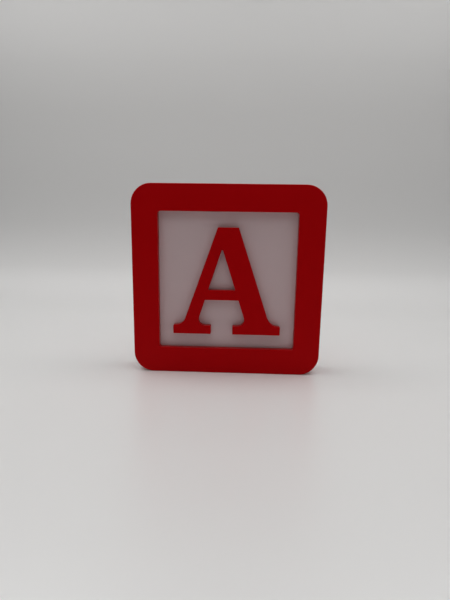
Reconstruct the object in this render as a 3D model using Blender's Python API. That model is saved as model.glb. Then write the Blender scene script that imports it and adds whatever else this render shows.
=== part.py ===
"""Letter block: a moulded red frame with a white panel set back in its window, a raised slab-serif
capital on the panel, and a back cover that closes the frame and holds the panel.

Metres, +Z up. The face looks along -Y, and the origin is under the middle of the block, on the
surface that it stands on.
"""
from math import atan2, copysign, cos, hypot, pi, radians, sin, sqrt, tan

import bmesh
import bpy
from mathutils import Vector

# Outside sizes
WIDTH = 0.100
HEIGHT = 0.100
DEPTH = 0.015
CORNER_RADIUS = 0.0106
EDGE_RADIUS = 0.0004

# Fits
CLEARANCE = 0.0003
EMBED = 0.0005              # how far a rib or boss runs into the wall that it grows from

# Frame
BAR = 0.0138                # width of the face, from the outer edge to the window
WINDOW_RADIUS = 0.0012
RECESS = 0.0036             # from the face back to the panel
FACE_WALL = 0.0024
SIDE_WALL = 0.0026
LIP_OVERLAP = 0.0020        # how far the window's lip covers the panel's rim
RIB_WALL = 0.0014           # locating rib round the panel
COVER_LEDGE = 0.0013        # step in the side wall that the back cover rests on

# Bosses, posts and webs
BOSS_RADIUS = 0.0032
BORE_RADIUS = 0.0020
BORE_DEPTH = 0.0080
POST_LENGTH = 0.0070
POST_TIP = 0.0008           # length of the post's tapered tip
POST_TIP_RADIUS = 0.0012
WEB_WALL = 0.0012
WEB_PITCH = 0.0200
WEBS_PER_BAR = 3

# Panel and back cover
PANEL_THICK = 0.0024
COVER_THICK = 0.0024
HOOP_WALL = 0.0014          # square rib on the cover that presses the panel's rim to the lip
BRACE_HEIGHT = 0.0030       # crossed ribs inside the hoop

# Raised letter: heights above its base line, and x from the block's middle line
LETTER_HEIGHT = 0.0566
SLAB_HEIGHT = 0.0046
CROSSBAR_Z = 0.0186
CROSSBAR_HEIGHT = 0.0053
COUNTER_TIP_X = -0.0027
COUNTER_DROP = 0.0106       # from the letter's top down to the tip of its counter
APEX_LEFT = -0.0051
APEX_RIGHT = 0.0057
THIN_STROKE_AT_SLAB = (-0.0235, -0.0162)
THICK_STROKE_AT_SLAB = (0.0107, 0.0233)
LEFT_SLAB = (-0.0286, -0.0084)
RIGHT_SLAB = (0.0032, 0.0286)
THIN_BRACKET = 0.0055        # rounding between a stroke's outer side and its slab
THICK_BRACKET = 0.0068
INNER_BRACKET = 0.0033
LETTER_CORNER = 0.0004
LETTER_EDGE = 0.0003
LETTER_WALL = 0.0013        # wall left round the hollowed back of the strokes
LETTER_FACE = 0.0016
PEG_RADIUS = 0.0013
PEG_REACH = 0.0008          # how far a peg stands out behind the panel
FOOT_PEG_RISE = 0.0017      # from the top of a slab up to the peg at the foot of its stroke

# Facets
SHARPEST = 0.0002           # least radius that a corner keeps when its outline moves inwards
ROUNDED_SHARE = 0.95        # most of a side that its two roundings take up together
CORNER_STEPS = 10
LETTER_STEPS = 4
EDGE_STEPS = 3
ROUND_SIDES = 20
WELD = 0.000001             # points nearer than this after a join or cut are one point

# Planes from front to back
FRONT = -DEPTH / 2
BACK = DEPTH / 2
PANEL_FRONT = FRONT + RECESS
PANEL_BACK = PANEL_FRONT + PANEL_THICK
LIP_END = PANEL_FRONT - CLEARANCE
COVER_FRONT = BACK - COVER_THICK
LEDGE_Y = COVER_FRONT - CLEARANCE
MIDDLE_Z = HEIGHT / 2
LETTER_BASE = MIDDLE_Z - LETTER_HEIGHT / 2

RED = ((0.58, 0.004, 0.008), 0.42)
WHITE = ((0.80, 0.79, 0.77), 0.45)


def clear_scene():
    for old in list(bpy.data.objects):
        bpy.data.objects.remove(old, do_unlink=True)


def finish(name, colour, roughness):
    material = bpy.data.materials.new(name)
    material.use_nodes = True
    shader = material.node_tree.nodes["Principled BSDF"]
    shader.inputs["Base Color"].default_value = (*colour, 1.0)
    shader.inputs["Roughness"].default_value = roughness
    shader.inputs["Metallic"].default_value = 0.0
    return material


def rectangle(width, height, radius):
    """Corners of an upright rectangle about the block's middle, anticlockwise seen from the front."""
    right, top = width / 2, height / 2
    places = ((-right, -top), (right, -top), (right, top), (-right, top))
    return [(x, MIDDLE_Z + z, radius) for x, z in places]


def outline(corners, inset=0.0, steps=CORNER_STEPS):
    """Rounded outline of a polygon moved inwards by inset, the same number of points for any inset.

    Corners are (x, z, radius), anticlockwise. Outward corners lose the inset from their radius and
    inward corners gain it, as a true parallel curve does. Two roundings that would meet on the side
    between them are both made smaller.
    """
    count = len(corners)
    places = []
    ways = []
    turns = []
    radii = []
    for i in range(count):
        before = Vector(corners[i - 1][:2])
        here = Vector(corners[i][:2])
        after = Vector(corners[(i + 1) % count][:2])
        way_in = (here - before).normalized()
        way_out = (after - here).normalized()
        turn = atan2(way_in.x * way_out.y - way_in.y * way_out.x, way_in.dot(way_out))
        left_in = Vector((-way_in.y, way_in.x))
        places.append(here + (left_in - way_in * tan(turn / 2)) * inset)
        ways.append(way_in)
        turns.append(turn)
        radii.append(max(corners[i][2] - inset * copysign(1, turn), SHARPEST))
    reaches = [radius * abs(tan(turn / 2)) for radius, turn in zip(radii, turns)]
    room = [
        ROUNDED_SHARE * (places[i] - places[i - 1]).length / (reaches[i] + reaches[i - 1])
        for i in range(count)
    ]
    points = []
    for i in range(count):
        share = min(1.0, room[i], room[(i + 1) % count])
        radius = radii[i] * share
        side = copysign(1, turns[i])
        left_in = Vector((-ways[i].y, ways[i].x))
        start = places[i] - ways[i] * reaches[i] * share
        centre = start + left_in * radius * side
        first = atan2(-left_in.y * side, -left_in.x * side)
        for step in range(steps + 1):
            angle = first + turns[i] * step / steps
            points.append((centre.x + radius * cos(angle), centre.y + radius * sin(angle)))
    return points


def solid(name, bm, material):
    bmesh.ops.recalc_face_normals(bm, faces=bm.faces)
    mesh = bpy.data.meshes.new(name)
    bm.to_mesh(mesh)
    bm.free()
    mesh.materials.append(material)
    piece = bpy.data.objects.new(name, mesh)
    bpy.context.scene.collection.objects.link(piece)
    return piece


def loft(bm, rings, closed):
    """Walls between rings of (outline, y), all with the same number of points."""
    loops = [[bm.verts.new((x, y, z)) for x, z in points] for points, y in rings]
    pairs = list(zip(loops, loops[1:]))
    if closed:
        pairs.append((loops[-1], loops[0]))
    for one, two in pairs:
        for i in range(len(one)):
            k = (i + 1) % len(one)
            bm.faces.new((one[i], one[k], two[k], two[i]))
    return loops


def cap(bm, loops):
    """Flat face with holes, from an outer loop and any inner loops in one plane."""
    sides = [bm.edges.get((loop[i - 1], loop[i])) for loop in loops for i in range(len(loop))]
    bmesh.ops.triangle_fill(bm, edges=sides, use_beauty=True, normal=(0.0, 1.0, 0.0))


def ring_solid(name, rings, material):
    """Closed ring from cross-section corners, each given as an outline at a depth."""
    bm = bmesh.new()
    loft(bm, rings, closed=True)
    return solid(name, bm, material)


def plate_solid(name, outer_rings, hole_rings, material):
    """Plate from rings front to back, with holes that have rings of their own."""
    bm = bmesh.new()
    sides = [loft(bm, rings, closed=False) for rings in (outer_rings, *hole_rings)]
    cap(bm, [loops[0] for loops in sides])
    cap(bm, [loops[-1] for loops in sides])
    return solid(name, bm, material)


def box_solid(name, centre, size, material, turn=0.0):
    """Upright box, turned by an angle about its own front-to-back axis."""
    bm = bmesh.new()
    bmesh.ops.create_cube(bm, size=1.0)
    for vert in bm.verts:
        x, y, z = vert.co.x * size[0], vert.co.y * size[1], vert.co.z * size[2]
        vert.co = (
            centre[0] + x * cos(turn) - z * sin(turn),
            centre[1] + y,
            centre[2] + x * sin(turn) + z * cos(turn),
        )
    return solid(name, bm, material)


def round_solid(name, x, z, sections, material):
    """Turned piece along Y, from (radius, y) sections front to back."""
    angles = [2 * pi * i / ROUND_SIDES for i in range(ROUND_SIDES)]
    rings = [([(x + r * cos(a), z + r * sin(a)) for a in angles], y) for r, y in sections]
    return plate_solid(name, rings, (), material)


def combine(piece, tool, operation):
    """Join or cut with a tool solid, and clear the tool away."""
    modifier = piece.modifiers.new(operation.lower(), "BOOLEAN")
    modifier.operation = operation
    modifier.solver = "EXACT"
    modifier.object = tool
    evaluated = piece.evaluated_get(bpy.context.evaluated_depsgraph_get())
    mesh = bpy.data.meshes.new_from_object(evaluated)
    piece.modifiers.clear()
    bm = bmesh.new()
    bm.from_mesh(mesh)
    bmesh.ops.remove_doubles(bm, verts=bm.verts, dist=WELD)
    bmesh.ops.dissolve_degenerate(bm, edges=bm.edges, dist=WELD)
    bm.to_mesh(mesh)
    bm.free()
    old = piece.data
    piece.data = mesh
    mesh.name = piece.name
    bpy.data.meshes.remove(old)
    bpy.data.objects.remove(tool, do_unlink=True)


def shade(piece):
    piece.data.shade_smooth()
    piece.data.set_sharp_from_angle(angle=radians(32))


def quarter(edge_radius, steps=EDGE_STEPS):
    """Points of a rounded edge as (inset, fall): from the side wall round to the flat face."""
    angles = [pi / 2 * i / steps for i in range(steps + 1)]
    return [(edge_radius * (1 - cos(a)), edge_radius * (1 - sin(a))) for a in angles]


FACE = rectangle(WIDTH, HEIGHT, CORNER_RADIUS)
WINDOW = rectangle(WIDTH - 2 * BAR, HEIGHT - 2 * BAR, WINDOW_RADIUS)


def boss_centres():
    """Middle of the space between the side wall's corner and the locating rib's corner."""
    at_arc = 1 - 1 / sqrt(2)
    wall_inset = SIDE_WALL + (CORNER_RADIUS - SIDE_WALL) * at_arc
    rib_out = LIP_OVERLAP + RIB_WALL
    rib_inset = BAR - rib_out + (WINDOW_RADIUS + rib_out) * at_arc
    inset = (wall_inset + rib_inset) / 2
    span = hypot(rib_inset - wall_inset, rib_inset - wall_inset)
    x, z = WIDTH / 2 - inset, HEIGHT / 2 - inset
    return [(sx * x, MIDDLE_Z + sz * z, sx * sz) for sx in (-1, 1) for sz in (-1, 1)], span


def frame_skin(material):
    """Side wall, face, window lip and locating rib as one cross-section run round the square."""
    rim = quarter(EDGE_RADIUS)
    rib_out = LIP_OVERLAP + RIB_WALL
    rings = [(outline(FACE, inset), BACK - fall) for inset, fall in reversed(rim)]
    rings += [(outline(FACE, inset), FRONT + fall) for inset, fall in rim]
    rings += [(outline(WINDOW, -inset), FRONT + fall) for inset, fall in reversed(rim)]
    rings += [
        (outline(WINDOW), LIP_END),
        (outline(WINDOW, -LIP_OVERLAP), LIP_END),
        (outline(WINDOW, -LIP_OVERLAP), PANEL_BACK),
        (outline(WINDOW, -rib_out), PANEL_BACK),
        (outline(WINDOW, -rib_out), FRONT + FACE_WALL),
        (outline(FACE, SIDE_WALL), FRONT + FACE_WALL),
        (outline(FACE, SIDE_WALL), LEDGE_Y),
        (outline(FACE, SIDE_WALL - COVER_LEDGE), LEDGE_Y),
        (outline(FACE, SIDE_WALL - COVER_LEDGE), BACK),
    ]
    return ring_solid("frame", rings, material)


def add_webs(frame, material):
    """Webs across the channel between the side wall and the locating rib, and through each boss."""
    front, back = FRONT + FACE_WALL - EMBED, PANEL_BACK - EMBED
    depth, middle = back - front, (back + front) / 2
    inner_inset = BAR - LIP_OVERLAP - RIB_WALL + EMBED
    outer_inset = SIDE_WALL - EMBED
    length = inner_inset - outer_inset
    reach = (inner_inset + outer_inset) / 2
    for i in range(WEBS_PER_BAR):
        along = (i - (WEBS_PER_BAR - 1) / 2) * WEB_PITCH
        for side in (-1, 1):
            upright = (along, middle, MIDDLE_Z + side * (HEIGHT / 2 - reach))
            level = (side * (WIDTH / 2 - reach), middle, MIDDLE_Z + along)
            for centre, size in ((upright, (WEB_WALL, depth, length)), (level, (length, depth, WEB_WALL))):
                combine(frame, box_solid("web", centre, size, material), "UNION")
    centres, span = boss_centres()
    for x, z, slope in centres:
        size = (span + 2 * EMBED, depth, WEB_WALL)
        web = box_solid("web", (x, middle, z), size, material, turn=slope * pi / 4)
        combine(frame, web, "UNION")


def add_bosses(frame, material):
    """Bosses in the frame's corners, bored from the back for the cover's posts."""
    front, back = FRONT + FACE_WALL - EMBED, LEDGE_Y - CLEARANCE
    for x, z, _ in boss_centres()[0]:
        boss = round_solid("boss", x, z, ((BOSS_RADIUS, front), (BOSS_RADIUS, back)), material)
        combine(frame, boss, "UNION")
        sections = ((BORE_RADIUS, back - BORE_DEPTH), (BORE_RADIUS, back + EMBED))
        combine(frame, round_solid("bore", x, z, sections, material), "DIFFERENCE")


def build_frame():
    material = finish("frame_red", *RED)
    frame = frame_skin(material)
    add_webs(frame, material)
    add_bosses(frame, material)
    shade(frame)
    return frame


def pegs():
    """Places of the letter's pegs: one in the apex above the counter, one at the foot of each stroke."""
    slab = LETTER_BASE + SLAB_HEIGHT
    top = LETTER_BASE + LETTER_HEIGHT
    tip = (COUNTER_TIP_X, top - COUNTER_DROP)
    z = slab + FOOT_PEG_RISE
    places = [((APEX_LEFT + APEX_RIGHT) / 2, top - COUNTER_DROP / 2)]
    for (left, right), apex, inner in (
        (THIN_STROKE_AT_SLAB, APEX_LEFT, 1),
        (THICK_STROKE_AT_SLAB, APEX_RIGHT, 0),
    ):
        feet = ((left, slab), (right, slab))
        inside = between(feet[inner], tip, z)
        outside = between(feet[1 - inner], (apex, top), z)
        places.append(((inside + outside) / 2, z))
    return places


def build_panel():
    """Plate that lies behind the window's lip, with a hole for each of the letter's pegs."""
    material = finish("panel_white", *WHITE)
    spread = LIP_OVERLAP - CLEARANCE
    outer = [(outline(WINDOW, -spread), PANEL_FRONT), (outline(WINDOW, -spread), PANEL_BACK)]
    panel = plate_solid("panel", outer, (), material)
    for x, z in pegs():
        radius = PEG_RADIUS + CLEARANCE
        sections = ((radius, PANEL_FRONT - EMBED), (radius, PANEL_BACK + EMBED))
        combine(panel, round_solid("hole", x, z, sections, material), "DIFFERENCE")
    shade(panel)
    return panel


def between(low, high, z):
    """x at height z on the line through two (x, z) points."""
    return low[0] + (high[0] - low[0]) * (z - low[1]) / (high[1] - low[1])


def letter_corners():
    """Corners of the letter's outside and of its counter, anticlockwise, with their radii."""
    base = LETTER_BASE
    slab = base + SLAB_HEIGHT
    top = base + LETTER_HEIGHT
    bar_low = base + CROSSBAR_Z
    bar_high = bar_low + CROSSBAR_HEIGHT
    tip = (COUNTER_TIP_X, top - COUNTER_DROP)
    thin = (THIN_STROKE_AT_SLAB[1], slab)
    thick = (THICK_STROKE_AT_SLAB[0], slab)
    soft = LETTER_CORNER
    outside = [
        (LEFT_SLAB[0], base, soft),
        (LEFT_SLAB[1], base, soft),
        (LEFT_SLAB[1], slab, soft),
        (thin[0], slab, INNER_BRACKET),
        (between(thin, tip, bar_low), bar_low, soft),
        (between(thick, tip, bar_low), bar_low, soft),
        (thick[0], slab, INNER_BRACKET),
        (RIGHT_SLAB[0], slab, soft),
        (RIGHT_SLAB[0], base, soft),
        (RIGHT_SLAB[1], base, soft),
        (RIGHT_SLAB[1], slab, soft),
        (THICK_STROKE_AT_SLAB[1], slab, THICK_BRACKET),
        (APEX_RIGHT, top, soft),
        (APEX_LEFT, top, soft),
        (THIN_STROKE_AT_SLAB[0], slab, THIN_BRACKET),
        (LEFT_SLAB[0], slab, soft),
    ]
    counter = [
        (tip[0], tip[1], soft),
        (between(thin, tip, bar_high), bar_high, soft),
        (between(thick, tip, bar_high), bar_high, soft),
    ]
    return outside, counter


def build_letter():
    """Raised letter: rounded front edges, hollowed strokes at the back, pegs through the panel."""
    material = finish("letter_red", *RED)
    outside, counter = letter_corners()
    back = PANEL_FRONT - CLEARANCE
    section = [(inset, FRONT + fall) for inset, fall in reversed(quarter(LETTER_EDGE))]
    section += [(0.0, back), (LETTER_WALL, back), (LETTER_WALL, FRONT + LETTER_FACE)]
    outer = [(outline(outside, inset, LETTER_STEPS), y) for inset, y in section]
    inner = [(outline(counter, -inset, LETTER_STEPS), y) for inset, y in section]
    letter = plate_solid("raised_letter", outer, (inner,), material)
    for x, z in pegs():
        sections = (
            (PEG_RADIUS, FRONT + LETTER_FACE - EMBED),
            (PEG_RADIUS, PANEL_BACK + PEG_REACH - LETTER_EDGE),
            (PEG_RADIUS - LETTER_EDGE, PANEL_BACK + PEG_REACH),
        )
        combine(letter, round_solid("peg", x, z, sections, material), "UNION")
    shade(letter)
    return letter


def build_back_cover():
    """Plate flush with the frame's rim, with its pressure hoop, crossed braces and posts."""
    material = finish("cover_red", *RED)
    inset = SIDE_WALL - COVER_LEDGE + CLEARANCE
    rings = [(outline(FACE, inset), COVER_FRONT)]
    rings += [(outline(FACE, inset + step), BACK - fall) for step, fall in quarter(EDGE_RADIUS)]
    cover = plate_solid("back_cover", rings, (), material)

    hoop_out = LIP_OVERLAP - 2 * CLEARANCE
    hoop_front, hoop_back = PANEL_BACK + CLEARANCE, COVER_FRONT + EMBED
    hoop = [
        (outline(WINDOW, -hoop_out), hoop_front),
        (outline(WINDOW, -hoop_out), hoop_back),
        (outline(WINDOW, HOOP_WALL - hoop_out), hoop_back),
        (outline(WINDOW, HOOP_WALL - hoop_out), hoop_front),
    ]
    combine(cover, ring_solid("hoop", hoop, material), "UNION")

    across = WIDTH - 2 * BAR - 2 * HOOP_WALL + 2 * hoop_out + 2 * EMBED
    tall = HEIGHT - 2 * BAR - 2 * HOOP_WALL + 2 * hoop_out + 2 * EMBED
    middle = COVER_FRONT + EMBED - (BRACE_HEIGHT + EMBED) / 2
    for size in ((across, BRACE_HEIGHT + EMBED, WEB_WALL), (WEB_WALL, BRACE_HEIGHT + EMBED, tall)):
        brace = box_solid("brace", (0.0, middle, MIDDLE_Z), size, material)
        combine(cover, brace, "UNION")

    post_radius = BORE_RADIUS - CLEARANCE
    tip = COVER_FRONT - POST_LENGTH
    for x, z, _ in boss_centres()[0]:
        sections = ((POST_TIP_RADIUS, tip), (post_radius, tip + POST_TIP), (post_radius, hoop_back))
        combine(cover, round_solid("post", x, z, sections, material), "UNION")
    shade(cover)
    return cover


def main():
    clear_scene()
    build_frame()
    build_panel()
    build_letter()
    build_back_cover()


main()
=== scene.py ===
from math import cos, pi, radians, sin

import bpy
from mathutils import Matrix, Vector

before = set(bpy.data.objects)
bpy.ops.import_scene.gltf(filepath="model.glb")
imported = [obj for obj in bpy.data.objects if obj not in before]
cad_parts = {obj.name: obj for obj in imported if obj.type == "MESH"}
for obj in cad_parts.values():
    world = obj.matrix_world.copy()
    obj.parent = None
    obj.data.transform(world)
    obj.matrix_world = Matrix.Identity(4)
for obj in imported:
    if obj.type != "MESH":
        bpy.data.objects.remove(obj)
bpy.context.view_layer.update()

# Camera, as the photograph's perspective gives it
CAMERA_PLACE = (0.00680, -0.21845, 0.08086)
CAMERA_TURN = (79.191, -0.838, 2.251)
LENS = 16.27
SENSOR = 24.0
NEAREST_SEEN = 0.005

# Plastics. The tint is that of the reflection seen head-on
RED_PLASTIC_WITH_PAINTED_SHADE = {
    # The plastic's red, set darker than its own colour as painted shade
    "colour": (0.407, 0.0010, 0.0025),
    "roughness": 0.42,
    "specular": 0.5,
    "tint": (1.0, 0.03, 0.04),
    "tone_drift": 0.03,
}
WHITE_PLASTIC_WITH_PAINTED_SHADE = {
    # The panel's white plastic, set darker as painted shade and tinted pink as painted red light
    # thrown back from the frame
    "colour": (0.625, 0.487, 0.497),
    "roughness": 0.45,
    "specular": 0.3,
    "tint": (1.0, 0.8, 0.8),
    "tone_drift": 0.015,
}
FINISHES = {
    "frame": ("frame_red", RED_PLASTIC_WITH_PAINTED_SHADE),
    "raised_letter": ("letter_red", RED_PLASTIC_WITH_PAINTED_SHADE),
    "back_cover": ("cover_red", RED_PLASTIC_WITH_PAINTED_SHADE),
    "panel": ("panel_white", WHITE_PLASTIC_WITH_PAINTED_SHADE),
}

# Drifts of tone and gloss over a moulded surface, and the grain that the mould leaves
DRIFT_SCALE = 55.0              # patches about 18 mm apart
DRIFT_DETAIL = 5.0
DRIFT_ROUGHNESS = 0.6
DRIFT_RANGE = (0.3, 0.7)        # the noise lies between these nearly everywhere
GLOSS_DRIFT = 0.04              # most that roughness drifts either way
GRAIN_SCALE = 4200.0            # grains about 0.24 mm apart
GRAIN_DETAIL = 3.0
GRAIN_HEIGHT = 0.00002
GRAIN_STRENGTH = 0.12

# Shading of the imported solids
WELD = 0.00001
SHARP_ABOVE = radians(32)
FLAT_FACE_WEIGHT = 100

# Pale sweep: a flat floor that curves up into a wall behind the block
FLOOR_FRONT = -1.200
FLOOR_BACK = 0.120
SWEEP_RADIUS = 0.220
SWEEP_STEPS = 32
SWEEP_HALF_WIDTH = 0.900
WALL_TOP = 0.900

# Board of the sweep: glossier where it lies flat, and with painted shade by its height, darkest low
# on the wall
BOARD = (0.81, 0.805, 0.795)
BOARD_IOR = 2.2
BOARD_ROUGHNESS = 0.34
MATT = 1.0                      # roughness above the height where its gloss has gone
GLOSS_HEIGHT = 0.030
BOARD_PAINTED_SHADE = (                 # height, share of the board's colour that the painted shade leaves
    (0.00, 1.00),
    (0.03, 0.87),
    (0.08, 0.70),
    (0.17, 0.73),
    (0.28, 0.86),
    (0.34, 0.97),
)

# Pale surround, and the distances from the origin over which the sweep fades into it
WORLD_COLOUR = (1.0, 1.0, 1.0)
WORLD_LIGHT = 0.01              # what it adds to the light on matt surfaces
WORLD_SEEN = 0.42               # how bright it looks by itself and in reflections
HAZE_START = 0.62
HAZE_END = 0.90

# Soft light: name, place, width and length of the panel, what it faces, power
LIGHTS = (
    ("above", (0.0, 0.0, 0.45), (1.00, 0.15), (0.0, 0.0, 0.0), 0.69),
    ("above_broad", (0.0, -0.05, 0.46), (1.00, 0.30), (0.0, -0.05, 0.0), 0.95),
    ("ceiling_front", (0.0, -0.30, 0.45), (1.00, 0.15), (0.0, -0.30, 0.0), 0.51),
    ("front_high", (0.0, -0.60, 0.50), (1.00, 0.15), (0.0, 0.0, 0.05), 0.26),
    ("high_left", (-0.30, 0.10, 0.60), (0.30, 0.30), (-0.30, 0.20, 0.0), 0.46),
    ("high_right", (0.30, 0.10, 0.60), (0.30, 0.30), (0.30, 0.20, 0.0), 0.39),
    ("wall_wash", (0.0, 0.24, 0.45), (1.00, 0.06), (0.0, 0.34, 0.25), 0.15),
)


def add_nodes(tree, kinds):
    return {key: tree.nodes.new(kind) for key, kind in kinds.items()}


def set_inputs(node, values):
    for socket, value in values.items():
        node.inputs[socket].default_value = value


def link(tree, nodes, pairs):
    """Link outputs to inputs, each given as its node's key and its socket."""
    for (source, output), (target, entry) in pairs:
        tree.links.new(nodes[source].outputs[output], nodes[target].inputs[entry])


def make_camera():
    camera = bpy.data.cameras.new("camera")
    camera.sensor_fit = "VERTICAL"
    camera.sensor_width = SENSOR
    camera.sensor_height = SENSOR
    camera.lens = LENS
    camera.clip_start = NEAREST_SEEN
    holder = bpy.data.objects.new("camera", camera)
    bpy.context.scene.collection.objects.link(holder)
    holder.location = CAMERA_PLACE
    holder.rotation_euler = [radians(angle) for angle in CAMERA_TURN]
    bpy.context.scene.camera = holder


def plastic(name, colour, roughness, specular, tint, tone_drift):
    """Satin moulded plastic: a fine grain from the mould, and faint drifts of tone and gloss."""
    material = bpy.data.materials.new(name)
    material.use_nodes = True
    tree = material.node_tree
    nodes = add_nodes(tree, {
        "place": "ShaderNodeTexCoord",
        "drift": "ShaderNodeTexNoise",
        "grain": "ShaderNodeTexNoise",
        "tone": "ShaderNodeMix",
        "gloss": "ShaderNodeMapRange",
        "bump": "ShaderNodeBump",
    })
    nodes["shader"] = tree.nodes["Principled BSDF"]
    set_inputs(nodes["drift"], {
        "Scale": DRIFT_SCALE,
        "Detail": DRIFT_DETAIL,
        "Roughness": DRIFT_ROUGHNESS,
    })
    set_inputs(nodes["grain"], {"Scale": GRAIN_SCALE, "Detail": GRAIN_DETAIL})
    nodes["tone"].data_type = "RGBA"
    colour_a, colour_b, colour_out = 6, 7, 2
    set_inputs(nodes["tone"], {
        colour_a: (*[c * (1 - tone_drift) for c in colour], 1.0),
        colour_b: (*[c * (1 + tone_drift) for c in colour], 1.0),
    })
    set_inputs(nodes["gloss"], {
        "From Min": DRIFT_RANGE[0],
        "From Max": DRIFT_RANGE[1],
        "To Min": roughness - GLOSS_DRIFT,
        "To Max": roughness + GLOSS_DRIFT,
    })
    set_inputs(nodes["bump"], {"Strength": GRAIN_STRENGTH, "Distance": GRAIN_HEIGHT})
    set_inputs(nodes["shader"], {
        "Metallic": 0.0,
        "Specular IOR Level": specular,
        "Specular Tint": (*tint, 1.0),
    })
    link(tree, nodes, (
        (("place", "Object"), ("drift", "Vector")),
        (("place", "Object"), ("grain", "Vector")),
        (("drift", "Fac"), ("tone", "Factor")),
        (("tone", colour_out), ("shader", "Base Color")),
        (("drift", "Fac"), ("gloss", "Value")),
        (("gloss", "Result"), ("shader", "Roughness")),
        (("grain", "Fac"), ("bump", "Height")),
        (("bump", "Normal"), ("shader", "Normal")),
    ))
    return material


def smoothing_group():
    """Node group that joins the triangles' corners and keeps only real corners sharp."""
    tree = bpy.data.node_groups.new("smooth_by_angle", "GeometryNodeTree")
    tree.interface.new_socket("Mesh", in_out="INPUT", socket_type="NodeSocketGeometry")
    tree.interface.new_socket("Mesh", in_out="OUTPUT", socket_type="NodeSocketGeometry")
    nodes = add_nodes(tree, {
        "in": "NodeGroupInput",
        "weld": "GeometryNodeMergeByDistance",
        "soft": "GeometryNodeSetShadeSmooth",
        "angle": "GeometryNodeInputMeshEdgeAngle",
        "over": "FunctionNodeCompare",
        "sharp": "GeometryNodeSetShadeSmooth",
        "out": "NodeGroupOutput",
    })
    nodes["over"].operation = "GREATER_THAN"
    nodes["sharp"].domain = "EDGE"
    set_inputs(nodes["weld"], {"Distance": WELD})
    set_inputs(nodes["soft"], {"Shade Smooth": True})
    set_inputs(nodes["over"], {"B": SHARP_ABOVE})
    set_inputs(nodes["sharp"], {"Shade Smooth": False})
    link(tree, nodes, (
        (("in", "Mesh"), ("weld", "Geometry")),
        (("weld", "Geometry"), ("soft", "Geometry")),
        (("soft", "Geometry"), ("sharp", "Geometry")),
        (("angle", "Unsigned Angle"), ("over", "A")),
        (("over", "Result"), ("sharp", "Selection")),
        (("sharp", "Geometry"), ("out", "Mesh")),
    ))
    return tree


def smooth(node, group):
    """Smooth shading that leaves flat faces flat. No point of the solid moves."""
    mesh = node.data
    if "custom_normal" in mesh.attributes:
        mesh.attributes.remove(mesh.attributes["custom_normal"])
    node.modifiers.new("smooth_by_angle", "NODES").node_group = group
    weighted = node.modifiers.new("weighted_normals", "WEIGHTED_NORMAL")
    weighted.keep_sharp = True
    weighted.weight = FLAT_FACE_WEIGHT


def dress_solids():
    group = smoothing_group()
    for name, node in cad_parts.items():
        slot_name, look = FINISHES[name]
        smooth(node, group)
        node.material_slots[0].material = plastic(slot_name, **look)


def seen_rays(tree):
    """A socket that is 1 for what is seen by itself, in a reflection or through glass."""
    path = tree.nodes.new("ShaderNodeLightPath")
    seen = path.outputs["Is Camera Ray"]
    for ray in ("Is Glossy Ray", "Is Transmission Ray"):
        either = tree.nodes.new("ShaderNodeMath")
        either.operation = "MAXIMUM"
        tree.links.new(seen, either.inputs[0])
        tree.links.new(path.outputs[ray], either.inputs[1])
        seen = either.outputs[0]
    return seen


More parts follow.
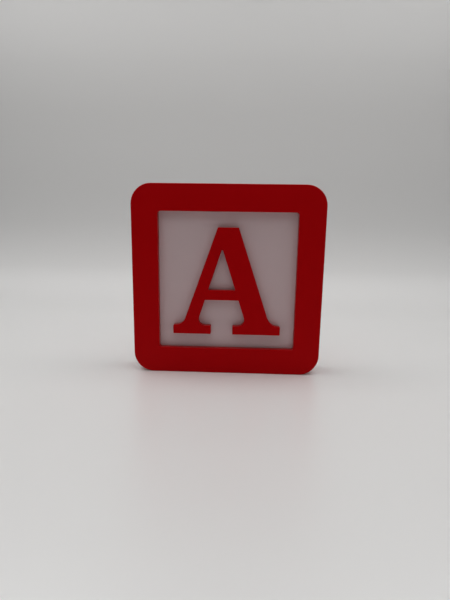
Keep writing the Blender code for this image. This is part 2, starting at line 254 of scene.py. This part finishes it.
def board():
    """Pale satin board that fades into the surround far from the block."""
    material = bpy.data.materials.new("sweep_board")
    material.use_nodes = True
    tree = material.node_tree
    nodes = add_nodes(tree, {
        "place": "ShaderNodeNewGeometry",
        "split": "ShaderNodeSeparateXYZ",
        "gloss": "ShaderNodeMapRange",
        "height": "ShaderNodeMapRange",
        "painted_shade_ramp": "ShaderNodeValToRGB",
        "far": "ShaderNodeVectorMath",
        "haze": "ShaderNodeMapRange",
        "glow": "ShaderNodeEmission",
        "share": "ShaderNodeMath",
        "mix": "ShaderNodeMixShader",
    })
    nodes["shader"] = tree.nodes["Principled BSDF"]
    nodes["out"] = tree.nodes["Material Output"]

    # Painted shade: the board's colour darkens with height along this ramp, most on the lower wall,
    # back towards full colour at the top
    top = BOARD_PAINTED_SHADE[-1][0]
    ramp = nodes["painted_shade_ramp"].color_ramp
    ramp.interpolation = "CARDINAL"
    while len(ramp.elements) < len(BOARD_PAINTED_SHADE):
        ramp.elements.new(1.0)
    for element, (height, share) in zip(ramp.elements, BOARD_PAINTED_SHADE):
        element.position = height / top
        element.color = (*[c * share for c in BOARD], 1.0)
    set_inputs(nodes["height"], {"From Max": top})
    set_inputs(nodes["gloss"], {
        "From Max": GLOSS_HEIGHT,
        "To Min": BOARD_ROUGHNESS,
        "To Max": MATT,
    })
    set_inputs(nodes["shader"], {"IOR": BOARD_IOR})

    # The fade is only to be seen, and lights nothing
    material.cycles.emission_sampling = "NONE"
    nodes["far"].operation = "LENGTH"
    nodes["haze"].interpolation_type = "SMOOTHSTEP"
    nodes["share"].operation = "MULTIPLY"
    set_inputs(nodes["haze"], {"From Min": HAZE_START, "From Max": HAZE_END})
    set_inputs(nodes["glow"], {"Color": (*WORLD_COLOUR, 1.0), "Strength": WORLD_SEEN})
    tree.links.new(seen_rays(tree), nodes["share"].inputs[1])

    link(tree, nodes, (
        (("place", "Position"), ("split", "Vector")),
        (("split", "Z"), ("gloss", "Value")),
        (("split", "Z"), ("height", "Value")),
        (("height", "Result"), ("painted_shade_ramp", "Fac")),
        (("painted_shade_ramp", "Color"), ("shader", "Base Color")),
        (("gloss", "Result"), ("shader", "Roughness")),
        (("place", "Position"), ("far", 0)),
        (("far", "Value"), ("haze", "Value")),
        (("haze", "Result"), ("share", 0)),
        (("share", "Value"), ("mix", "Fac")),
        (("shader", "BSDF"), ("mix", 1)),
        (("glow", "Emission"), ("mix", 2)),
        (("mix", "Shader"), ("out", "Surface")),
    ))
    return material


def sweep_profile():
    """(y, z) from the front edge of the floor to the top of the wall."""
    points = [(FLOOR_FRONT, 0.0), (FLOOR_BACK, 0.0)]
    for i in range(1, SWEEP_STEPS + 1):
        turn = pi / 2 * i / SWEEP_STEPS
        points.append((FLOOR_BACK + SWEEP_RADIUS * sin(turn), SWEEP_RADIUS * (1 - cos(turn))))
    points.append((FLOOR_BACK + SWEEP_RADIUS, WALL_TOP))
    return points


def make_sweep():
    verts = []
    faces = []
    for y, z in sweep_profile():
        verts += [(-SWEEP_HALF_WIDTH, y, z), (SWEEP_HALF_WIDTH, y, z)]
    for i in range(0, len(verts) - 2, 2):
        faces.append((i, i + 1, i + 3, i + 2))
    mesh = bpy.data.meshes.new("sweep")
    mesh.from_pydata(verts, [], faces)
    mesh.shade_smooth()
    mesh.materials.append(board())
    sweep = bpy.data.objects.new("sweep", mesh)
    bpy.context.scene.collection.objects.link(sweep)


def make_lights():
    for name, place, size, target, power in LIGHTS:
        lamp = bpy.data.lights.new(name, "AREA")
        lamp.shape = "RECTANGLE"
        lamp.size, lamp.size_y = size
        lamp.energy = power
        holder = bpy.data.objects.new(name, lamp)
        bpy.context.scene.collection.objects.link(holder)
        holder.location = place
        holder.rotation_euler = (Vector(target) - Vector(place)).to_track_quat("-Z", "Y").to_euler()
        holder.visible_camera = False


def make_world():
    """Pale surround: seen by the camera and in reflections, with little light of its own."""
    world = bpy.data.worlds.new("soft_surround")
    bpy.context.scene.world = world
    world.use_nodes = True
    tree = world.node_tree
    background = tree.nodes["Background"]
    strength = tree.nodes.new("ShaderNodeMapRange")
    set_inputs(background, {"Color": (*WORLD_COLOUR, 1.0)})
    set_inputs(strength, {"To Min": WORLD_LIGHT, "To Max": WORLD_SEEN})
    tree.links.new(seen_rays(tree), strength.inputs["Value"])
    tree.links.new(strength.outputs["Result"], background.inputs["Strength"])


make_camera()
dress_solids()
make_sweep()
make_lights()
make_world()

bpy.context.scene.view_settings.view_transform = "Standard"
